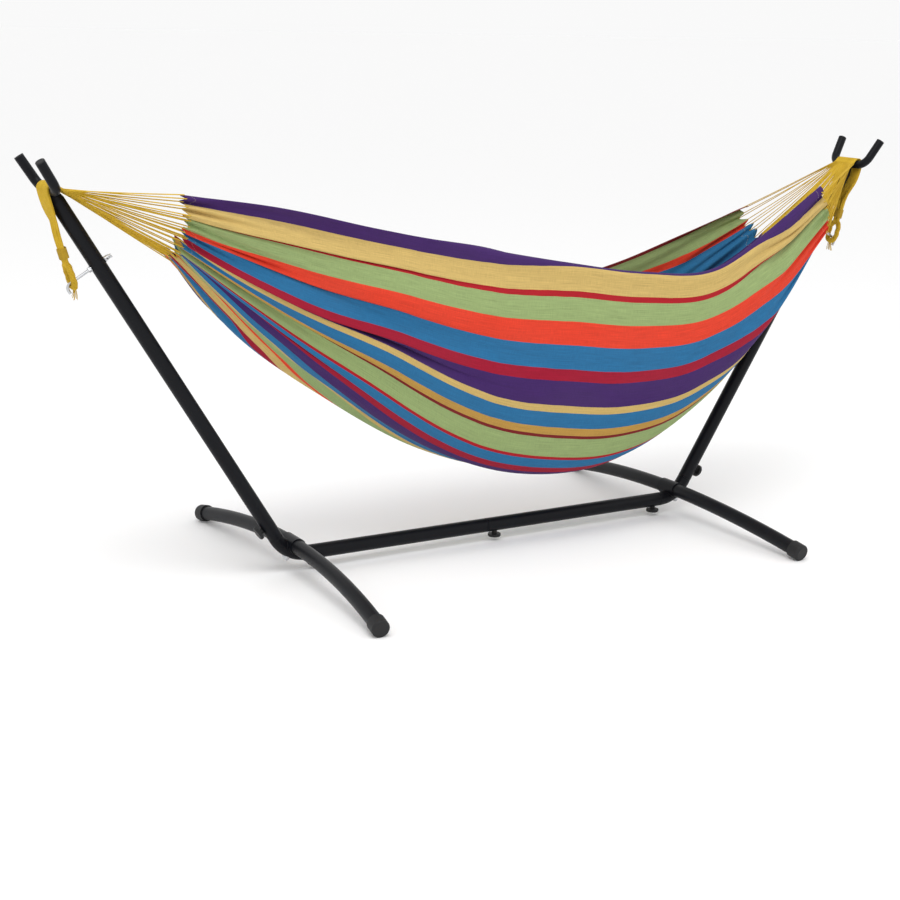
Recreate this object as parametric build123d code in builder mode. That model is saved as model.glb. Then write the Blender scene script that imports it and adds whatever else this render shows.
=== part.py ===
# Hammock on a folding-tube stand: a striped cotton bed hung from two forked uprights.
# Millimetres, +Z up, origin on the floor under the middle of the stand, +X along the bed.
import os
from math import acos, atan2, cos, hypot, pi, radians, sin, sqrt, tan

from build123d import *

os.makedirs("parts", exist_ok=True)

# Stand tube
tube_od = 42.0
tube_wall = 1.5
joint_clearance = 0.3
swage_taper = 3.0
joint_insert = 90.0

# Stand layout, on tube centrelines
corner_x = 684.0
beam_height = 50.0
upright_angle = 58.3
corner_bend_radius = 110.0
corner_straight = 5.0
upright_length = 1119.0
beam_seam_x = -30.0

# Feet
foot_offset = 36.0
foot_half_span = 585.0
foot_end_height = 24.0
sleeve_wall = 2.4
sleeve_length = 75.0
sleeve_clearance = 0.6
cap_od = 50.0
cap_grip = 32.0
cap_nose = 8.0
cap_round = 7.0
cap_clearance = 0.2
saddle_height = 4.0
saddle_od = 20.0
saddle_fit = 0.1
bolt_end = 2.0

# Fork
fork_bar_od = 25.4
fork_bar_wall = 2.0
fork_rise = 38.0
fork_base_half = 72.0
fork_tip_half = 87.0
fork_prong = 88.0
fork_bend_radius = 35.0
fork_plug_length = 60.0
fork_collar = 4.0
fork_neck_radius = 13.0
tip_plug_flange = 3.0
tip_plug_length = 14.0
tip_plug_clearance = 0.2

# Fasteners
thread_od = 8.0
thread_clearance = 0.3
nut_across_flats = 13.0
nut_height = 6.5
bolt_head_height = 5.3
washer_od = 17.0
washer_thickness = 1.6
part_gap = 0.3

# Clamp knobs
knob_od = 39.0
knob_head = 9.0
knob_stem_od = 16.0
knob_stem = 8.0
knob_flutes = 8
knob_flute_radius = 5.0
knob_flute_depth = 2.0
knob_edge = 2.0
knob_socket = 11.0
stud_fit = 0.1
stud_tail = 3.0
knob_on_beam = 86.0
knob_on_upright = 110.0
knob_on_middle = 4.0

# Hook bolts and wing nuts
hook_station = 1000.0
hook_reach = 100.0
hook_drop = 22.0
hook_bend_radius = 14.0
hook_tail = 10.0
wing_hub_od = 14.0
wing_hub_height = 9.0
wing_span = 34.0
wing_height = 17.0
wing_thickness = 3.2
wing_corner = 2.5

# Rope over the fork
rope_width = 92.0
rope_thickness = 8.0
rope_gap = 0.6
rope_flat = 50.0
rope_edge_radius = 3.5
neck_width = 27.0
neck_thickness = 22.0
neck_corner = 8.0
eye_strand = 13.0
eye_hole_width = 20.0
eye_straight = 25.0
eye_slack = 1.2
eye_station = 80.0
neck_start = 120.0
whipping_start = 62.0
whipping_length = 30.0
whipping_wall = 2.2
string_start = 35.0

# Strings and bed
string_diameter = 2.4
string_bite = 6.0
swing_gap = 4.0
cloth_thickness = 4.0
fold_count = 12
samples = 240

# Sections of the hanging bed, from the left hem to the right hem: place along X, turn in plan and lean in
# degrees, near edge (y, z), lowest thread (y, z), far edge (y, z), squareness of the curve, depth of the folds.
bed_sections = [
    (-1018, 10, 0, (-185, 1074), (30, 916), (165, 919), 2.2, 7),
    (-823, 0, 0, (-205, 1050), (30, 706), (215, 844), 2.1, 12),
    (-533, 0, 0, (-230, 988), (30, 485), (255, 804), 2.1, 12),
    (-238, 0, 0, (-242, 926), (25, 304), (275, 759), 2.2, 9),
    (77, 0, 0, (-245, 866), (15, 202), (285, 732), 2.3, 5),
    (352, 0, 0, (-240, 823), (5, 204), (290, 722), 2.4, 4),
    (612, 0, 0, (-230, 815), (5, 312), (280, 770), 2.6, 4),
    (870, 0, -3, (-215, 925), (15, 522), (265, 853), 2.9, 7),
    (1085, 0, -7, (-185, 1041), (15, 836), (250, 941), 2.6, 8),
]

# Values worked out from the sizes above
tube_r = tube_od / 2
bore_r = tube_r - tube_wall
swage_r = bore_r - joint_clearance
swage_bore_r = swage_r - tube_wall
turn = radians(upright_angle)
along = Vector(cos(turn), 0, sin(turn))
outward = Vector(sin(turn), 0, -cos(turn))
inward = Vector(-sin(turn / 2), 0, cos(turn / 2))
corner = Vector(corner_x, 0, beam_height)
seam = corner_bend_radius * tan(turn / 2) + corner_straight
seat = seam + swage_taper * tube_wall / (tube_wall + joint_clearance)
upright_top = seat + upright_length
fork_station = upright_top + fork_rise
fork_centre = corner + along * fork_station
foot_centre = corner + inward * foot_offset
foot_sag = (foot_centre.Z - foot_end_height) / inward.Z
sleeve_bore_r = tube_r + sleeve_clearance
hole_r = thread_od / 2 + thread_clearance
nut_corner = nut_across_flats / sqrt(3)
corner_under = corner_bend_radius / cos(turn / 2) - corner_bend_radius - tube_r


def save(piece, name):
    """Label a finished piece and write its file."""
    piece.part.label = name
    export_step(piece.part, f"parts/{name}.step")


def save_mirrored(piece, name):
    """Write the same piece for the left end of the stand."""
    with BuildPart() as other:
        mirror(piece.part, about=Plane.YZ)
    save(other, name)


def save_pair(piece, stem):
    """Write a piece that both ends of the stand have."""
    save(piece, stem + "_right")
    save_mirrored(piece, stem + "_left")


def on_upright(station):
    """Point on the right upright's axis, measured from the corner."""
    return corner + along * station


def square_to(point, direction):
    """Plane across a tube or a bolt, its X axis along the stand's width."""
    return Plane(origin=point, x_dir=(0, 1, 0), z_dir=direction)


def nut_seat(inner_radius):
    """Distance from a tube's axis to a nut that rests on its inner wall."""
    return sqrt(inner_radius**2 - nut_corner**2)


# Uprights: plain tubes that slip over the corner pieces
with BuildPart() as upright:
    with BuildSketch(square_to(on_upright(seat), along)):
        Circle(tube_r)
        Circle(bore_r, mode=Mode.SUBTRACT)
    extrude(amount=upright_length)
    with BuildSketch(square_to(on_upright(knob_on_upright), outward)):
        Circle(hole_r)
    extrude(amount=tube_od, mode=Mode.SUBTRACT)
    with BuildSketch(square_to(on_upright(hook_station), outward)):
        Circle(hole_r)
    extrude(amount=tube_od, both=True, mode=Mode.SUBTRACT)
save_pair(upright, "upright")


def swaged_end(joint, direction):
    """Reduced tube end that slides into the next tube."""
    end = swage_taper + joint_insert
    with BuildSketch(Plane(origin=joint, x_dir=direction, z_dir=(0, -1, 0))) as wall:
        with BuildLine():
            Polyline(
                (0, tube_r),
                (swage_taper, swage_r),
                (end, swage_r),
                (end, swage_bore_r),
                (swage_taper, swage_bore_r),
                (0, bore_r),
                close=True,
            )
        make_face()
    revolve(wall.sketch, axis=Axis(joint, direction))


def bolt_hole(plane, depth):
    """Clearance hole for one thread, from the plane along its normal."""
    with BuildSketch(plane) as hole:
        Circle(hole_r)
    extrude(hole.sketch, amount=depth, mode=Mode.SUBTRACT)


# Corner pieces: a bent tube with two swaged ends and a sleeve across its crook for the foot
beam_joint = corner - Vector(seam, 0, 0)
upright_joint = corner + along * seam
down = Vector(0, 0, -1)
beam_knob = square_to(corner - Vector(knob_on_beam, 0, 0), down)
upright_knob = square_to(on_upright(knob_on_upright), outward)
middle_knob = square_to(Vector(knob_on_middle, 0, beam_height), down)
foot_bolt = square_to(foot_centre, inward * -1)

with BuildPart() as corner_core:
    with BuildLine() as corner_path:
        FilletPolyline(beam_joint, corner, upright_joint, radius=corner_bend_radius)
    with BuildSketch(square_to(beam_joint, Vector(1, 0, 0))):
        Circle(tube_r + saddle_fit)
    sweep(path=corner_path.line)

with BuildPart() as corner_piece:
    with BuildSketch(square_to(beam_joint, Vector(1, 0, 0))):
        Circle(tube_r)
        Circle(bore_r, mode=Mode.SUBTRACT)
    sweep(path=corner_path.line)
    swaged_end(beam_joint, Vector(-1, 0, 0))
    swaged_end(upright_joint, along)
    with BuildSketch(Plane(origin=foot_centre, x_dir=inward, z_dir=(0, 1, 0))):
        Circle(sleeve_bore_r + sleeve_wall)
    extrude(amount=sleeve_length / 2, both=True)
    with BuildSketch(Plane(origin=foot_centre, x_dir=inward, z_dir=(0, 1, 0))):
        Circle(sleeve_bore_r)
    extrude(amount=sleeve_length / 2, both=True, mode=Mode.SUBTRACT)
    bolt_hole(beam_knob, tube_od)
    bolt_hole(upright_knob, tube_od)
    bolt_hole(foot_bolt, foot_offset + tube_od)
save_pair(corner_piece, "corner")
print("corner bend radius", corner_bend_radius)


# Beam: two halves that meet near the middle, the left one swaged into the right one
beam_end = corner_x - seat
beam_mouth = beam_seam_x + seat - seam

with BuildPart() as beam_right:
    with BuildSketch(square_to(Vector(beam_mouth, 0, beam_height), Vector(1, 0, 0))):
        Circle(tube_r)
        Circle(bore_r, mode=Mode.SUBTRACT)
    extrude(amount=beam_end - beam_mouth)
    bolt_hole(beam_knob, tube_od)
    bolt_hole(middle_knob, tube_od)
save(beam_right, "beam_right")

with BuildPart() as beam_left:
    with BuildSketch(square_to(Vector(-beam_end, 0, beam_height), Vector(1, 0, 0))):
        Circle(tube_r)
        Circle(bore_r, mode=Mode.SUBTRACT)
    extrude(amount=beam_end + beam_seam_x)
    swaged_end(Vector(beam_seam_x, 0, beam_height), Vector(1, 0, 0))
    bolt_hole(square_to(Vector(knob_on_beam - corner_x, 0, beam_height), down), tube_od)
    bolt_hole(middle_knob, tube_od)
save(beam_left, "beam_left")


# Feet: one arched tube each, in a plane that leans with the corner
foot_plane = Plane(origin=foot_centre, x_dir=(0, 1, 0), z_dir=Vector(0, 1, 0).cross(inward))

with BuildPart() as foot:
    with BuildLine(foot_plane) as foot_path:
        ThreePointArc((-foot_half_span, -foot_sag), (0, 0), (foot_half_span, -foot_sag))
    with BuildSketch(Plane(origin=foot_path.line @ 0, z_dir=foot_path.line % 0)):
        Circle(tube_r)
        Circle(bore_r, mode=Mode.SUBTRACT)
    sweep(path=foot_path.line)
    bolt_hole(foot_bolt, tube_od)
save_pair(foot, "foot")
print("foot arch radius", (foot_half_span**2 + foot_sag**2) / (2 * foot_sag))

# Foot caps: moulded cups over the tube ends, flat where they stand on the floor
cap_r = cap_od / 2
cap_bore_r = tube_r + cap_clearance
foot_end = foot_path.line @ 1
foot_end_direction = foot_path.line % 1

with BuildPart() as foot_cap:
    with BuildSketch(Plane(origin=foot_end, x_dir=foot_end_direction, z_dir=foot_plane.z_dir)):
        with BuildLine():
            Polyline((cap_nose, 0), (0, 0), (0, cap_bore_r), (-cap_grip, cap_bore_r), (-cap_grip, cap_r))
            Line((-cap_grip, cap_r), (cap_nose - cap_round, cap_r))
            RadiusArc((cap_nose - cap_round, cap_r), (cap_nose, cap_r - cap_round), cap_round)
            Line((cap_nose, cap_r - cap_round), (cap_nose, 0))
        make_face()
    revolve(axis=Axis(foot_end, foot_end_direction))
    split(bisect_by=Plane.XY, keep=Keep.TOP)
save_pair(foot_cap, "foot_cap_far")

with BuildPart() as near_cap:
    mirror(foot_cap.part, about=Plane.XZ)
save_pair(near_cap, "foot_cap_near")


# Forks: a bent bar across the upright's top, welded to a plug that fits inside the upright
fork_plane = Plane(origin=fork_centre, x_dir=(0, 1, 0), z_dir=outward)
bar_r = fork_bar_od / 2
bar_bore_r = bar_r - fork_bar_wall

with BuildPart() as fork:
    with BuildSketch(Plane(origin=fork_centre, x_dir=along, z_dir=(0, -1, 0))):
        with BuildLine():
            Polyline(
                (0, 0),
                (0, fork_neck_radius),
                (fork_collar - fork_rise, tube_r),
                (-fork_rise, tube_r),
                (-fork_rise, swage_r),
                (-fork_rise - fork_plug_length, swage_r),
                (-fork_rise - fork_plug_length, swage_bore_r),
                (-fork_rise, swage_bore_r),
                (-fork_rise, 0),
                close=True,
            )
        make_face()
    revolve(axis=Axis(fork_centre, along))
    with BuildLine(fork_plane) as fork_path:
        FilletPolyline(
            (-fork_tip_half, fork_prong),
            (-fork_base_half, 0),
            (fork_base_half, 0),
            (fork_tip_half, fork_prong),
            radius=fork_bend_radius,
        )
    with BuildSketch(Plane(origin=fork_path.line @ 0, z_dir=fork_path.line % 0)):
        Circle(bar_r)
    sweep(path=fork_path.line)
    with BuildSketch(Plane(origin=fork_path.line @ 0, z_dir=fork_path.line % 0)):
        Circle(bar_bore_r)
    sweep(path=fork_path.line, mode=Mode.SUBTRACT)
save_pair(fork, "fork")
print("fork bend radius", fork_bend_radius)

# Plugs in the ends of the prongs
with BuildPart() as tip_plug:
    with BuildSketch(Plane(origin=fork_path.line @ 1, z_dir=fork_path.line % 1)):
        Circle(bar_r)
    extrude(amount=tip_plug_flange)
    fillet(tip_plug.faces().sort_by(Axis(fork_path.line @ 1, fork_path.line % 1))[-1].edges(), tip_plug_flange / 2)
    with BuildSketch(Plane(origin=fork_path.line @ 1, z_dir=fork_path.line % 1)):
        Circle(bar_bore_r - tip_plug_clearance)
    extrude(amount=-tip_plug_length)

with BuildPart() as tip_plugs:
    add(tip_plug.part)
    mirror(tip_plug.part, about=Plane.XZ)
    mirror(about=Plane.YZ)
save(tip_plugs, "fork_tip_plugs")


# Clamp knobs: fluted mushroom heads, each moulded round a threaded stud
knob_base = tube_r + part_gap


def make_knob(plane):
    """Knob head, standing on the tube that the plane crosses."""
    flute_circle = knob_od / 2 + knob_flute_radius - knob_flute_depth
    with BuildPart() as knob:
        with BuildSketch(plane.offset(knob_base)):
            Circle(knob_stem_od / 2)
        extrude(amount=knob_stem)
        with BuildSketch(plane.offset(knob_base + knob_stem)):
            Circle(knob_od / 2)
        extrude(amount=knob_head)
        crown = knob.faces().sort_by(Axis(plane.origin, plane.z_dir))[-1]
        chamfer(crown.edges(), knob_edge)
        with BuildSketch(plane.offset(knob_base + knob_stem)):
            with PolarLocations(flute_circle, knob_flutes):
                Circle(knob_flute_radius)
        extrude(amount=knob_head, mode=Mode.SUBTRACT)
        with BuildSketch(plane.offset(knob_base)):
            Circle(thread_od / 2 + stud_fit)
        extrude(amount=knob_socket, mode=Mode.SUBTRACT)
    return knob


def make_stud(plane):
    """Threaded stud from the knob's socket through the tubes and the weld nut."""
    start = nut_seat(swage_bore_r) - nut_height - stud_tail
    with BuildPart() as stud:
        with BuildSketch(plane.offset(start)):
            Circle(thread_od / 2)
        extrude(amount=knob_base + knob_socket - start)
    return stud


knob_places = {"beam": beam_knob, "upright": upright_knob}
for place, knob_plane in knob_places.items():
    save_pair(make_knob(knob_plane), f"knob_{place}")
    save_pair(make_stud(knob_plane), f"stud_{place}")
save(make_knob(middle_knob), "knob_middle")
save(make_stud(middle_knob), "stud_middle")


def make_nut(plane, distance):
    """Hexagon nut whose outer face stands at a distance along the plane's normal."""
    with BuildPart() as nut:
        with BuildSketch(plane.offset(distance)):
            RegularPolygon(nut_corner, 6)
            Circle(hole_r, mode=Mode.SUBTRACT)
        extrude(amount=-nut_height)
    return nut


# Weld nuts inside the swaged ends
with BuildPart() as weld_nuts:
    for nut_plane in knob_places.values():
        add(make_nut(nut_plane, nut_seat(swage_bore_r)).part)
    mirror(about=Plane.YZ)
    add(make_nut(middle_knob, nut_seat(swage_bore_r)).part)
save(weld_nuts, "weld_nuts")

# Foot fixings: a nut inside the foot, a saddle washer under the bend and a bolt through both
with BuildPart() as foot_nuts:
    add(make_nut(foot_bolt, nut_seat(bore_r)).part)
    mirror(about=Plane.YZ)
save(foot_nuts, "foot_nuts")

saddle_face = foot_offset - corner_under + saddle_height
with BuildPart() as foot_saddles:
    with BuildSketch(foot_bolt.offset(saddle_face)):
        Circle(saddle_od / 2)
        Circle(hole_r, mode=Mode.SUBTRACT)
    extrude(amount=-saddle_height - saddle_od / 2)
    add(corner_core.part, mode=Mode.SUBTRACT)
    mirror(about=Plane.YZ)
save(foot_saddles, "foot_saddles")

with BuildPart() as foot_bolts:
    with BuildSketch(foot_bolt.offset(saddle_face)):
        RegularPolygon(nut_corner, 6)
    extrude(amount=bolt_head_height)
    with BuildSketch(foot_bolt.offset(saddle_face)):
        Circle(thread_od / 2)
    extrude(amount=nut_seat(bore_r) - nut_height - bolt_end - saddle_face)
    mirror(about=Plane.YZ)
save(foot_bolts, "foot_bolts")


# Hook bolts: threaded rods through the uprights, turned down at the outer end
hook_axis = square_to(on_upright(hook_station), outward)
washer_face = tube_r + washer_thickness
hub_face = washer_face + part_gap


def by_upright(distance, station):
    """Point at a distance out from the right upright's axis and a station along it."""
    return on_upright(station) + outward * distance


with BuildPart() as hook:
    with BuildLine() as hook_path:
        FilletPolyline(
            by_upright(-hub_face - wing_hub_height - hook_tail, hook_station),
            by_upright(hook_reach, hook_station),
            by_upright(hook_reach, hook_station - hook_drop),
            radius=hook_bend_radius,
        )
    with BuildSketch(square_to(hook_path.line @ 0, outward)):
        Circle(thread_od / 2)
    sweep(path=hook_path.line)
save_pair(hook, "hook_bolt")
print("hook bend radius", hook_bend_radius)

with BuildPart() as hook_nuts:
    add(make_nut(hook_axis, washer_face + nut_height).part)
    mirror(about=Plane.YZ)
save(hook_nuts, "hook_nuts")

with BuildPart() as hook_washers:
    with BuildSketch(hook_axis.offset(tube_r), hook_axis.offset(-washer_face)):
        Circle(washer_od / 2)
        Circle(hole_r, mode=Mode.SUBTRACT)
    extrude(amount=washer_thickness)
    mirror(about=Plane.YZ)
save(hook_washers, "hook_washers")

# Wing nuts on the inner ends of the hook bolts
hub_centre = by_upright(-hub_face, hook_station)
with BuildPart() as wing_nut:
    with BuildSketch(square_to(hub_centre, outward * -1)):
        Circle(wing_hub_od / 2)
    extrude(amount=wing_hub_height)
    with BuildSketch(Plane(origin=hub_centre, x_dir=(0, 1, 0), z_dir=along)) as wings:
        with BuildLine() as wing_edge:
            Polyline(
                (0, wing_hub_height / 4),
                (wing_span / 4, wing_hub_height / 4),
                (wing_span / 2, wing_height * 2 / 3),
                (wing_span / 2, wing_height),
                (wing_span / 4, wing_height),
                (0, wing_hub_height * 2 / 3),
                close=True,
            )
        make_face()
        fillet(wings.vertices().group_by(Axis.Y)[-1], wing_corner)
        mirror(about=Plane.YZ)
    extrude(amount=wing_thickness / 2, both=True)
    bolt_hole(square_to(hub_centre, outward * -1), wing_height)
save_pair(wing_nut, "wing_nut")


# Bed: one cloth hung between the hems, its section a slack curve with folds along it
def slack_curve(section):
    """Even points along a bed section, in its plane, with the normal at each."""
    _, _, lean, near, low, far, squareness, _ = section
    raw = []
    for i in range(samples + 1):
        phase = pi * (i / samples - 0.5)
        edge = near if phase < 0 else far
        across = abs(sin(phase)) ** (2 / squareness)
        rise = 1 - abs(cos(phase)) ** (2 / squareness)
        height = (edge[1] - low[1]) * rise / cos(radians(lean))
        raw.append((low[0] + (edge[0] - low[0]) * across, height))
    travelled = [0.0]
    for first, second in zip(raw, raw[1:]):
        travelled.append(travelled[-1] + hypot(second[0] - first[0], second[1] - first[1]))
    even = []
    place = 0
    for k in range(2 * fold_count + 1):
        wanted = travelled[-1] * k / (2 * fold_count)
        while place < samples - 1 and travelled[place + 1] < wanted:
            place += 1
        first, second = raw[place], raw[place + 1]
        step = travelled[place + 1] - travelled[place]
        share = (wanted - travelled[place]) / step
        point = (first[0] + (second[0] - first[0]) * share, first[1] + (second[1] - first[1]) * share)
        normal = ((first[1] - second[1]) / step, (second[0] - first[0]) / step)
        even.append((point, normal))
    return even


def section_plane(section):
    """Upright plane of a bed section, its X axis across the bed."""
    x, plan_turn, lean, _, low, _, _, _ = section
    a = radians(plan_turn)
    b = radians(lean)
    return Plane(origin=(x, 0, low[1]), x_dir=(sin(a), cos(a), 0), z_dir=(cos(a) * cos(b), -sin(a), -sin(b)))


def folded(section, side):
    """Points of one face of the folded cloth: every second one is a fold's crest or hollow."""
    depth = section[-1]
    points = []
    for k, (point, normal) in enumerate(slack_curve(section)):
        fold = (0, depth, 0, -depth)[k % 4]
        shift = fold + side * cloth_thickness / 2
        points.append((point[0] + normal[0] * shift, point[1] + normal[1] * shift))
    return points


with BuildPart() as bed:
    for bed_section in bed_sections:
        upper = folded(bed_section, 1)
        lower = folded(bed_section, -1)
        with BuildSketch(section_plane(bed_section)):
            with BuildLine():
                for face_points in (upper, lower):
                    for k in range(0, 2 * fold_count, 2):
                        ThreePointArc(*face_points[k : k + 3])
                Line(upper[0], lower[0])
                Line(upper[-1], lower[-1])
            make_face()
    loft()
save(bed, "bed")


# Ropes: the bound strings, flat over the fork, drawn in to a neck and spliced into an eye on the hook
def hem_points(section):
    """Middle of the hem, at the ends and the crest of each fold."""
    plane = section_plane(section)
    return [plane.from_local_coords(Vector(*point)) for point in folded(section, 0)]


right_hem = hem_points(bed_sections[-1])
left_hem = hem_points(bed_sections[0])
wrap_r = bar_r + rope_gap + rope_thickness / 2
eye_point = by_upright(eye_station, hook_station)
hem_middle = sum(right_hem, Vector()) / len(right_hem)


def wrap_point(target, side):
    """Where a taut run from the target touches the rope's wrap round the fork bar, and its angle there."""
    away = Vector(target.X - fork_centre.X, 0, target.Z - fork_centre.Z)
    angle = atan2(away.Z, away.X) + side * acos(wrap_r / away.length)
    return fork_centre + Vector(cos(angle), 0, sin(angle)) * wrap_r, angle


tail_top, tail_angle = wrap_point(eye_point, 1)
run_top, run_angle = wrap_point(hem_middle, -1)
crest_angle = (tail_angle + run_angle % (2 * pi)) / 2
crest = fork_centre + Vector(cos(crest_angle), 0, sin(crest_angle)) * wrap_r
run_direction = (run_top - Vector(hem_middle.X, 0, hem_middle.Z)).normalized()
run_length = (run_top.X - fork_centre.X + string_start) / run_direction.X
run_start = run_top - run_direction * run_length
tail_direction = (eye_point - tail_top).normalized()
flat_end = tail_top + tail_direction * rope_flat


def rope_section(point, direction, width, thickness, corner_radius):
    """Rounded flat section across the rope."""
    with BuildSketch(square_to(point, direction)) as flat:
        RectangleRounded(width, thickness, corner_radius)
    return flat.sketch


strand_r = eye_strand / 2
eye_r = eye_hole_width / 2 + strand_r
eye_low = eye_hole_width / 2 - thread_od / 2 - eye_slack
eye_up = tail_direction * -1
neck_low = eye_point + eye_up * (eye_low + eye_straight + eye_r)
neck_top = eye_point + eye_up * neck_start

with BuildLine() as rope_path:
    Line(run_start, run_top)
    ThreePointArc(run_top, crest, tail_top)
    Line(tail_top, flat_end)
rope_band = rope_section(run_start, run_direction, rope_width, rope_thickness, rope_edge_radius)
rope_tail = rope_section(flat_end, tail_direction, rope_width, rope_thickness, rope_edge_radius)
rope_neck = rope_section(neck_top, tail_direction, neck_width, neck_thickness, neck_corner)
eye_plane = Plane(origin=eye_point, x_dir=(0, 1, 0), z_dir=Vector(0, 1, 0).cross(eye_up))
eye_high = eye_low + eye_straight

with BuildPart() as rope:
    loft([rope_tail, rope_neck])
    extrude(rope_neck, amount=(neck_top - neck_low).length)
    sweep(rope_band, path=rope_path.line)
save_pair(rope, "rope")

with BuildPart() as rope_eye:
    with BuildLine(eye_plane) as eye_path:
        Line((eye_r, eye_low), (eye_r, eye_high))
        ThreePointArc((eye_r, eye_high), (0, eye_high + eye_r), (-eye_r, eye_high))
        Line((-eye_r, eye_high), (-eye_r, eye_low))
        ThreePointArc((-eye_r, eye_low), (0, eye_low - eye_r), (eye_r, eye_low))
    with BuildSketch(Plane(origin=eye_path.line @ 0, z_dir=eye_path.line % 0)):
        Circle(strand_r)
    sweep(path=eye_path.line)
save_pair(rope_eye, "rope_eye")
print("rope wrap radius", wrap_r, "eye radius", eye_r)

# Whippings: bands of thread wound round the necks
with BuildPart() as whipping:
    whip_point = eye_point + eye_up * (whipping_start + whipping_length)
    outer = rope_section(
        whip_point, tail_direction, neck_width + 2 * whipping_wall, neck_thickness + 2 * whipping_wall, neck_corner
    )
    extrude(outer, amount=whipping_length)
    inner = rope_section(
        whip_point, tail_direction, neck_width + part_gap, neck_thickness + part_gap, neck_corner
    )
    extrude(inner, amount=whipping_length, mode=Mode.SUBTRACT)
save_pair(whipping, "whipping")


# Strings: a fan from each rope to the folds of the hem
def make_strings(hem, side):
    """Straight strings of one end, side +1 on the right."""
    spread = rope_width - 2 * rope_edge_radius
    start_x = side * (run_start.X - swing_gap)
    with BuildPart() as strings:
        for i, hem_point in enumerate(hem):
            start = Vector(start_x, spread * (i / (len(hem) - 1) - 0.5), run_start.Z)
            direction = (hem_point - start).normalized()
            with BuildSketch(Plane(origin=start, z_dir=direction)):
                Circle(string_diameter / 2)
            extrude(amount=(hem_point - start).length + string_bite)
    return strings


save(make_strings(right_hem, 1), "strings_right")
save(make_strings(left_hem, -1), "strings_left")
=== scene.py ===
from math import acos, atan2, cos, hypot, pi, radians, sin, sqrt

import bpy
import numpy as np
from mathutils import Matrix, Vector


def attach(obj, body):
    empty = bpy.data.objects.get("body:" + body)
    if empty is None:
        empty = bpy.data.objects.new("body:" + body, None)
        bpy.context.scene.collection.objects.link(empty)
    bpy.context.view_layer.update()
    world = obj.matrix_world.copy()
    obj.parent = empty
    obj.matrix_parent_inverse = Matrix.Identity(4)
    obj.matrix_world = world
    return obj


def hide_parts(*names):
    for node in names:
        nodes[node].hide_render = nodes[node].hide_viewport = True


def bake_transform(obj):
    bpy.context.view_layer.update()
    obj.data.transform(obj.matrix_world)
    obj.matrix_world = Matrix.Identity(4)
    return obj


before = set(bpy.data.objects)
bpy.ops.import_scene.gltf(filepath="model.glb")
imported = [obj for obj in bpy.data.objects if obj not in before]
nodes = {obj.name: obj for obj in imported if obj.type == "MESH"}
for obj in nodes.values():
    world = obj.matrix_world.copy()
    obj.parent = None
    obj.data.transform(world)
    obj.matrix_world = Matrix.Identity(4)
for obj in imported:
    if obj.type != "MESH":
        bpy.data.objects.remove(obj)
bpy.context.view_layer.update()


# Uprights, beam halves, corner pieces and forks.
# Round steel tube, cut, bent and swaged, with a blue-black powder coat sprayed on and baked.
# The tubes slip into each other and clamp knobs hold them; a weld bead fixes the sleeve in each corner.
class Shade:
    """A socket of a finish; sums and products of shades add Math nodes."""

    def __init__(self, tree, socket=None):
        self.tree = tree
        self.socket = socket

    def node(self, kind, settings=None, inputs=None, output=0):
        made = self.tree.nodes.new(kind)
        for name, value in (settings or {}).items():
            if name == "stops":
                band = made.color_ramp
                band.interpolation = "CONSTANT"
                while len(band.elements) < len(value):
                    band.elements.new(1.0)
                for element, (position, colour) in zip(band.elements, value):
                    element.position = position
                    element.color = (*colour, 1.0)
            else:
                setattr(made, name, value)
        for key, value in (inputs or {}).items():
            if isinstance(value, Shade):
                self.tree.links.new(value.socket, made.inputs[key])
            else:
                made.inputs[key].default_value = value
        return Shade(self.tree, made.outputs[output])

    def maths(self, operation, first, second):
        return self.node("ShaderNodeMath", {"operation": operation}, {0: first, 1: second})

    def __add__(self, other):
        return self.maths("ADD", self, other)

    def __radd__(self, other):
        return self.maths("ADD", other, self)

    def __sub__(self, other):
        return self.maths("SUBTRACT", self, other)

    def __rsub__(self, other):
        return self.maths("SUBTRACT", other, self)

    def __mul__(self, other):
        return self.maths("MULTIPLY", self, other)

    def __rmul__(self, other):
        return self.maths("MULTIPLY", other, self)

    def sine(self):
        return self.maths("SINE", self, 0.0)

    def size(self):
        """The shade without its sign."""
        return self.maths("ABSOLUTE", self, 0.0)

    def least(self, other):
        return self.maths("MINIMUM", self, other)

    def above(self, limit):
        return self.maths("GREATER_THAN", self, limit)

    def mix(self, first, second):
        """Colour between two colours, by this shade."""
        return self.node("ShaderNodeMix", {"data_type": "RGBA"}, {0: self, 6: first, 7: second}, output=2)

    def noise(self, place, scale, detail):
        return self.node("ShaderNodeTexNoise", None, {"Vector": place, "Scale": scale, "Detail": detail})

    def relief(self, strength, distance):
        """Bumped normal, with this shade as the height."""
        return self.node("ShaderNodeBump", None, {"Strength": strength, "Distance": distance, "Height": self})

    def parts(self):
        """First and second part of a place."""
        first = self.node("ShaderNodeSeparateXYZ", None, {0: self})
        return first, Shade(self.tree, first.socket.node.outputs[1])


def new_finish(name):
    """Material, its shader and a shade to start from."""
    material = bpy.data.materials.new(name)
    material.use_nodes = True
    surface = material.node_tree.nodes["Principled BSDF"]
    return material, surface, Shade(material.node_tree)


def feed(surface, socket, shade):
    surface.id_data.links.new(shade.socket, surface.inputs[socket])


def dress(names, material):
    """Give CAD nodes a finish."""
    for name in names:
        nodes[name].data.materials.clear()
        nodes[name].data.materials.append(material)


ends = (("left", -1), ("right", 1))


def both_ends(*stems):
    return [stem + "_" + end for stem in stems for end, _ in ends]


def mirrored(run, side):
    """Places at the right end, or their mirror images at the left end for side -1."""
    return [(side * x, y, z) for x, y, z in run]


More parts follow.
